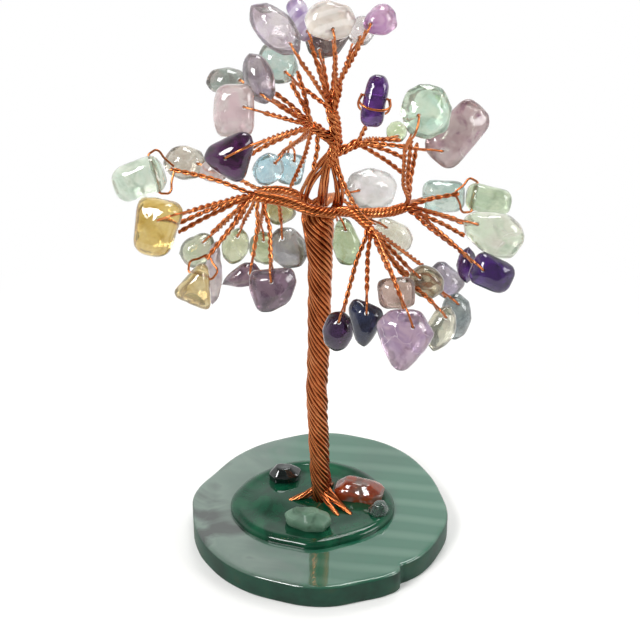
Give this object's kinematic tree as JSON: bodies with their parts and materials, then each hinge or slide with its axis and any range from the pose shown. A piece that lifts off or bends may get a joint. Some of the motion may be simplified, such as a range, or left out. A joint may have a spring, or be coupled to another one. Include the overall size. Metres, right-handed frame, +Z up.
{
  "type": "gemstone tree ornament",
  "caption": "Gemstone tree: tumbled gem chips on looped twigs of twisted copper wire, a twisted trunk and an agate slice with a resin pool.",
  "frame": {"origin": "the trunk's foot axis in the plane of the slice's underside", "axes": "+Z up along the trunk, +X to the right of the show side, +Y away from it"},
  "size_m": [0.0892, 0.0662, 0.1384],
  "materials": {
    "agate": "polished",
    "resin": "clear gloss",
    "copper": null,
    "pebble_black": "polished",
    "pebble_red": "polished",
    "pebble_green": "rough",
    "pebble_white": "polished",
    "gem_rose": "tumbled, translucent",
    "gem_lavender": "tumbled, translucent",
    "gem_amethyst": "tumbled, translucent",
    "gem_dark": "tumbled, translucent",
    "gem_clear": "tumbled, translucent",
    "gem_smoky": "tumbled, translucent",
    "gem_green": "tumbled, translucent",
    "gem_teal": "tumbled, translucent",
    "gem_yellow": "tumbled, translucent",
    "gem_blue": "tumbled, translucent"
  },
  "bodies": {
    "stand": {"base_slice": "agate", "base_resin": "resin", "pebble_black_green": "pebble_black", "pebble_orange_red": "pebble_red", "pebble_light_green": "pebble_green", "pebble_clear_white": "pebble_white", "trunk": "copper", "roots": "copper", "branch_back": "copper", "branch_leader": "copper", "branch_left": "copper", "branch_lower_right": "copper", "branch_right": "copper", "branch_upper_right": "copper"},
    "gem_top_rose_leaf_body": {"gem_top_rose_leaf": "gem_rose"},
    "gem_top_lavender_bar_body": {"gem_top_lavender_bar": "gem_lavender"},
    "gem_top_cream_band_body": {"gem_top_cream_band": "gem_clear"},
    "gem_top_smoky_shield_body": {"gem_top_smoky_shield": "gem_smoky"},
    "gem_top_clear_bead_body": {"gem_top_clear_bead": "gem_clear"},
    "gem_top_pink_violet_body": {"gem_top_pink_violet": "gem_lavender"},
    "gem_crest_teal_body": {"gem_crest_teal": "gem_teal"},
    "gem_crest_grey_oval_body": {"gem_crest_grey_oval": "gem_smoky"},
    "gem_crest_grey_green_body": {"gem_crest_grey_green": "gem_smoky"},
    "gem_crest_rose_slab_body": {"gem_crest_rose_slab": "gem_rose"},
    "gem_side_dark_heart_body": {"gem_side_dark_heart": "gem_amethyst"},
    "gem_side_pale_rose_body": {"gem_side_pale_rose": "gem_rose"},
    "gem_side_sky_blue_body": {"gem_side_sky_blue": "gem_blue"},
    "gem_side_ice_blue_body": {"gem_side_ice_blue": "gem_blue"},
    "gem_upper_violet_column_body": {"gem_upper_violet_column": "gem_amethyst"},
    "gem_upper_small_green_body": {"gem_upper_small_green": "gem_green"},
    "gem_upper_plum_long_body": {"gem_upper_plum_long": "gem_lavender"},
    "gem_left_green_block_body": {"gem_left_green_block": "gem_green"},
    "gem_left_yellow_tooth_body": {"gem_left_yellow_tooth": "gem_yellow"},
    "gem_left_yellow_triangle_body": {"gem_left_yellow_triangle": "gem_yellow"},
    "gem_left_mauve_wing_body": {"gem_left_mauve_wing": "gem_lavender"},
    "gem_left_mauve_shield_body": {"gem_left_mauve_shield": "gem_lavender"},
    "gem_left_clear_rough_body": {"gem_left_clear_rough": "gem_clear"},
    "gem_left_grey_green_body": {"gem_left_grey_green": "gem_green"},
    "gem_left_lavender_drop_body": {"gem_left_lavender_drop": "gem_lavender"},
    "gem_left_leaf_green_body": {"gem_left_leaf_green": "gem_green"},
    "gem_left_back_green_body": {"gem_left_back_green": "gem_green"},
    "gem_left_smoke_clear_body": {"gem_left_smoke_clear": "gem_smoky"},
    "gem_left_back_lime_body": {"gem_left_back_lime": "gem_green"},
    "gem_right_green_hexagon_body": {"gem_right_green_hexagon": "gem_green"},
    "gem_right_pale_teal_body": {"gem_right_pale_teal": "gem_teal"},
    "gem_right_green_bar_body": {"gem_right_green_bar": "gem_green"},
    "gem_right_green_long_body": {"gem_right_green_long": "gem_green"},
    "gem_right_violet_narrow_body": {"gem_right_violet_narrow": "gem_amethyst"},
    "gem_right_violet_wedge_body": {"gem_right_violet_wedge": "gem_amethyst"},
    "gem_lower_dark_plum_body": {"gem_lower_dark_plum": "gem_dark"},
    "gem_lower_blue_black_body": {"gem_lower_blue_black": "gem_dark"},
    "gem_lower_light_amethyst_body": {"gem_lower_light_amethyst": "gem_lavender"},
    "gem_lower_smoky_pink_body": {"gem_lower_smoky_pink": "gem_rose"},
    "gem_lower_green_smoke_body": {"gem_lower_green_smoke": "gem_smoky"},
    "gem_lower_lavender_grey_body": {"gem_lower_lavender_grey": "gem_lavender"},
    "gem_lower_pale_green_body": {"gem_lower_pale_green": "gem_green"},
    "gem_lower_grey_blue_body": {"gem_lower_grey_blue": "gem_smoky"},
    "gem_back_green_pear_body": {"gem_back_green_pear": "gem_green"},
    "gem_back_white_oval_body": {"gem_back_white_oval": "gem_clear"},
    "gem_back_clear_drop_body": {"gem_back_clear_drop": "gem_clear"}
  },
  "joints": [
    {"name": "rock_top_rose_leaf", "type": "hinge", "parent": "stand", "child": "gem_top_rose_leaf_body", "pos_m": [-0.0062, -0.00626, 0.12901], "axis": [-0.118, -0.8398, 0.5299], "range_deg": [-10, 10]},
    {"name": "rock_top_lavender_bar", "type": "hinge", "parent": "stand", "child": "gem_top_lavender_bar_body", "pos_m": [-0.00316, 0.00327, 0.12801], "axis": [0.129, -0.9182, 0.3746], "range_deg": [-10, 10]},
    {"name": "rock_top_cream_band", "type": "hinge", "parent": "stand", "child": "gem_top_cream_band_body", "pos_m": [0.00201, -0.0068, 0.13254], "axis": [0.077, -0.8796, 0.4695], "range_deg": [-10, 10]},
    {"name": "rock_top_smoky_shield", "type": "hinge", "parent": "stand", "child": "gem_top_smoky_shield_body", "pos_m": [-0.00032, 0.00575, 0.12265], "axis": [-0.0982, -0.9345, 0.342], "range_deg": [-10, 10]},
    {"name": "rock_top_clear_bead", "type": "hinge", "parent": "stand", "child": "gem_top_clear_bead_body", "pos_m": [0.00779, 0.01087, 0.12309], "axis": [0.1836, -0.8637, 0.4695], "range_deg": [-10, 10]},
    {"name": "rock_top_pink_violet", "type": "hinge", "parent": "stand", "child": "gem_top_pink_violet_body", "pos_m": [0.00976, -0.00357, 0.1323], "axis": [0.0923, -0.8781, 0.4695], "range_deg": [-10, 10]},
    {"name": "rock_crest_teal", "type": "hinge", "parent": "stand", "child": "gem_crest_teal_body", "pos_m": [-0.00809, 0.00768, 0.11632], "axis": [0.0923, -0.8781, 0.4695], "range_deg": [-10, 10]},
    {"name": "rock_crest_grey_oval", "type": "hinge", "parent": "stand", "child": "gem_crest_grey_oval_body", "pos_m": [-0.01225, -0.0019, 0.11563], "axis": [-0.2136, -0.8567, 0.4695], "range_deg": [-10, 10]},
    {"name": "rock_crest_grey_green", "type": "hinge", "parent": "stand", "child": "gem_crest_grey_green_body", "pos_m": [-0.018, 0.00759, 0.11438], "axis": [0.1533, -0.8695, 0.4695], "range_deg": [-10, 10]},
    {"name": "rock_crest_rose_slab", "type": "hinge", "parent": "stand", "child": "gem_crest_rose_slab_body", "pos_m": [-0.01586, -0.0085, 0.11587], "axis": [-0.0923, -0.8781, 0.4695], "range_deg": [-10, 10]},
    {"name": "rock_side_dark_heart", "type": "hinge", "parent": "stand", "child": "gem_side_dark_heart_body", "pos_m": [-0.01934, -0.01898, 0.10945], "axis": [-0.1533, -0.8695, 0.4695], "range_deg": [-10, 10]},
    {"name": "rock_side_pale_rose", "type": "hinge", "parent": "stand", "child": "gem_side_pale_rose_body", "pos_m": [-0.02175, 0.0021, 0.09561], "axis": [0, -0.8829, 0.4695], "range_deg": [-10, 10]},
    {"name": "rock_side_sky_blue", "type": "hinge", "parent": "stand", "child": "gem_side_sky_blue_body", "pos_m": [-0.01079, 0.01079, 0.09273], "axis": [0.1836, -0.8637, 0.4695], "range_deg": [-10, 10]},
    {"name": "rock_side_ice_blue", "type": "hinge", "parent": "stand", "child": "gem_side_ice_blue_body", "pos_m": [-0.00681, 0.01896, 0.089], "axis": [0.2434, -0.8487, 0.4695], "range_deg": [-10, 10]},
    {"name": "rock_upper_violet_column", "type": "hinge", "parent": "stand", "child": "gem_upper_violet_column_body", "pos_m": [0.01132, -0.00682, 0.11752], "axis": [-0.9816, 0.0896, 0.1685], "range_deg": [-10, 10]},
    {"name": "rock_upper_small_green", "type": "hinge", "parent": "stand", "child": "gem_upper_small_green_body", "pos_m": [0.01638, 0.01118, 0.09918], "axis": [0.1533, -0.8695, 0.4695], "range_deg": [-10, 10]},
    {"name": "rock_upper_plum_long", "type": "hinge", "parent": "stand", "child": "gem_upper_plum_long_body", "pos_m": [0.02557, -0.00018, 0.10134], "axis": [0.1229, -0.8744, 0.4695], "range_deg": [-10, 10]},
    {"name": "rock_left_green_block", "type": "hinge", "parent": "stand", "child": "gem_left_green_block_body", "pos_m": [-0.03624, -0.00383, 0.09771], "axis": [0.294, -0.4745, -0.8297], "range_deg": [-10, 10]},
    {"name": "rock_left_yellow_tooth", "type": "hinge", "parent": "stand", "child": "gem_left_yellow_tooth_body", "pos_m": [-0.03389, -0.01741, 0.094], "axis": [-0.1533, -0.8695, 0.4695], "range_deg": [-10, 10]},
    {"name": "rock_left_yellow_triangle", "type": "hinge", "parent": "stand", "child": "gem_left_yellow_triangle_body", "pos_m": [-0.02598, -0.01946, 0.0815], "axis": [0.9479, -0.2218, -0.2285], "range_deg": [-10, 10]},
    {"name": "rock_left_mauve_wing", "type": "hinge", "parent": "stand", "child": "gem_left_mauve_wing_body", "pos_m": [-0.01567, -0.00947, 0.07621], "axis": [0, -0.8829, 0.4695], "range_deg": [-10, 10]},
    {"name": "rock_left_mauve_shield", "type": "hinge", "parent": "stand", "child": "gem_left_mauve_shield_body", "pos_m": [-0.01056, -0.02126, 0.08124], "axis": [-0.0616, -0.8808, 0.4695], "range_deg": [-10, 10]},
    {"name": "rock_left_clear_rough", "type": "hinge", "parent": "stand", "child": "gem_left_clear_rough_body", "pos_m": [-0.02826, 0.01641, 0.08963], "axis": [0.1229, -0.8744, 0.4695], "range_deg": [-10, 10]},
    {"name": "rock_left_grey_green", "type": "hinge", "parent": "stand", "child": "gem_left_grey_green_body", "pos_m": [-0.0265, 0.00489, 0.07591], "axis": [0, -0.8829, 0.4695], "range_deg": [-10, 10]},
    {"name": "rock_left_lavender_drop", "type": "hinge", "parent": "stand", "child": "gem_left_lavender_drop_body", "pos_m": [-0.02376, -0.00252, 0.07817], "axis": [0, -0.8829, 0.4695], "range_deg": [-10, 10]},
    {"name": "rock_left_leaf_green", "type": "hinge", "parent": "stand", "child": "gem_left_leaf_green_body", "pos_m": [-0.01948, 0.01303, 0.0726], "axis": [0.0923, -0.8781, 0.4695], "range_deg": [-10, 10]},
    {"name": "rock_left_back_green", "type": "hinge", "parent": "stand", "child": "gem_left_back_green_body", "pos_m": [-0.01386, 0.01885, 0.06828], "axis": [0.1533, -0.8695, 0.4695], "range_deg": [-10, 10]},
    {"name": "rock_left_smoke_clear", "type": "hinge", "parent": "stand", "child": "gem_left_smoke_clear_body", "pos_m": [-0.00894, 0.00825, 0.07485], "axis": [0, -0.8829, 0.4695], "range_deg": [-10, 10]},
    {"name": "rock_left_back_lime", "type": "hinge", "parent": "stand", "child": "gem_left_back_lime_body", "pos_m": [-0.01056, 0.02089, 0.07763], "axis": [0.2434, -0.8487, 0.4695], "range_deg": [-10, 10]},
    {"name": "rock_right_green_hexagon", "type": "hinge", "parent": "stand", "child": "gem_right_green_hexagon_body", "pos_m": [0.0198, -0.01044, 0.11495], "axis": [0.0616, -0.8808, 0.4695], "range_deg": [-10, 10]},
    {"name": "rock_right_pale_teal", "type": "hinge", "parent": "stand", "child": "gem_right_pale_teal_body", "pos_m": [0.02483, 0.01367, 0.08264], "axis": [0.1229, -0.8744, 0.4695], "range_deg": [-10, 10]},
    {"name": "rock_right_green_bar", "type": "hinge", "parent": "stand", "child": "gem_right_green_bar_body", "pos_m": [0.03345, -0.00121, 0.09065], "axis": [0.2096, 0.4713, 0.8567], "range_deg": [-10, 10]},
    {"name": "rock_right_green_long", "type": "hinge", "parent": "stand", "child": "gem_right_green_long_body", "pos_m": [0.03268, -0.01339, 0.09074], "axis": [0.0923, -0.8781, 0.4695], "range_deg": [-10, 10]},
    {"name": "rock_right_violet_narrow", "type": "hinge", "parent": "stand", "child": "gem_right_violet_narrow_body", "pos_m": [0.03184, -0.00801, 0.07977], "axis": [0, -0.8829, 0.4695], "range_deg": [-10, 10]},
    {"name": "rock_right_violet_wedge", "type": "hinge", "parent": "stand", "child": "gem_right_violet_wedge_body", "pos_m": [0.03382, -0.02131, 0.08415], "axis": [0.0616, -0.8808, 0.4695], "range_deg": [-10, 10]},
    {"name": "rock_lower_dark_plum", "type": "hinge", "parent": "stand", "child": "gem_lower_dark_plum_body", "pos_m": [0.00404, -0.01307, 0.06597], "axis": [-0.1229, -0.8744, 0.4695], "range_deg": [-10, 10]},
    {"name": "rock_lower_blue_black", "type": "hinge", "parent": "stand", "child": "gem_lower_blue_black_body", "pos_m": [0.0096, -0.01917, 0.07204], "axis": [0, -0.8829, 0.4695], "range_deg": [-10, 10]},
    {"name": "rock_lower_light_amethyst", "type": "hinge", "parent": "stand", "child": "gem_lower_light_amethyst_body", "pos_m": [0.01901, -0.02646, 0.07326], "axis": [0.0616, -0.8808, 0.4695], "range_deg": [-10, 10]},
    {"name": "rock_lower_smoky_pink", "type": "hinge", "parent": "stand", "child": "gem_lower_smoky_pink_body", "pos_m": [0.01616, -0.01471, 0.07569], "axis": [0, -0.8829, 0.4695], "range_deg": [-10, 10]},
    {"name": "rock_lower_green_smoke", "type": "hinge", "parent": "stand", "child": "gem_lower_green_smoke_body", "pos_m": [0.02116, -0.00866, 0.07461], "axis": [0.0923, -0.8781, 0.4695], "range_deg": [-10, 10]},
    {"name": "rock_lower_lavender_grey", "type": "hinge", "parent": "stand", "child": "gem_lower_lavender_grey_body", "pos_m": [0.02631, 0.0063, 0.06638], "axis": [0.1533, -0.8695, 0.4695], "range_deg": [-10, 10]},
    {"name": "rock_lower_pale_green", "type": "hinge", "parent": "stand", "child": "gem_lower_pale_green_body", "pos_m": [0.0268, -0.01537, 0.06861], "axis": [0.0923, -0.8781, 0.4695], "range_deg": [-10, 10]},
    {"name": "rock_lower_grey_blue", "type": "hinge", "parent": "stand", "child": "gem_lower_grey_blue_body", "pos_m": [0.03022, -0.00264, 0.06409], "axis": [0.1533, -0.8695, 0.4695], "range_deg": [-10, 10]},
    {"name": "rock_back_green_pear", "type": "hinge", "parent": "stand", "child": "gem_back_green_pear_body", "pos_m": [0.0051, 0.01748, 0.07181], "axis": [0.1533, -0.8695, 0.4695], "range_deg": [-10, 10]},
    {"name": "rock_back_white_oval", "type": "hinge", "parent": "stand", "child": "gem_back_white_oval_body", "pos_m": [0.00795, 0.02825, 0.07622], "axis": [0.3591, -0.8066, 0.4695], "range_deg": [-10, 10]},
    {"name": "rock_back_clear_drop", "type": "hinge", "parent": "stand", "child": "gem_back_clear_drop_body", "pos_m": [0.01445, 0.01853, 0.07184], "axis": [0.2136, -0.8567, 0.4695], "range_deg": [-10, 10]}
  ]
}
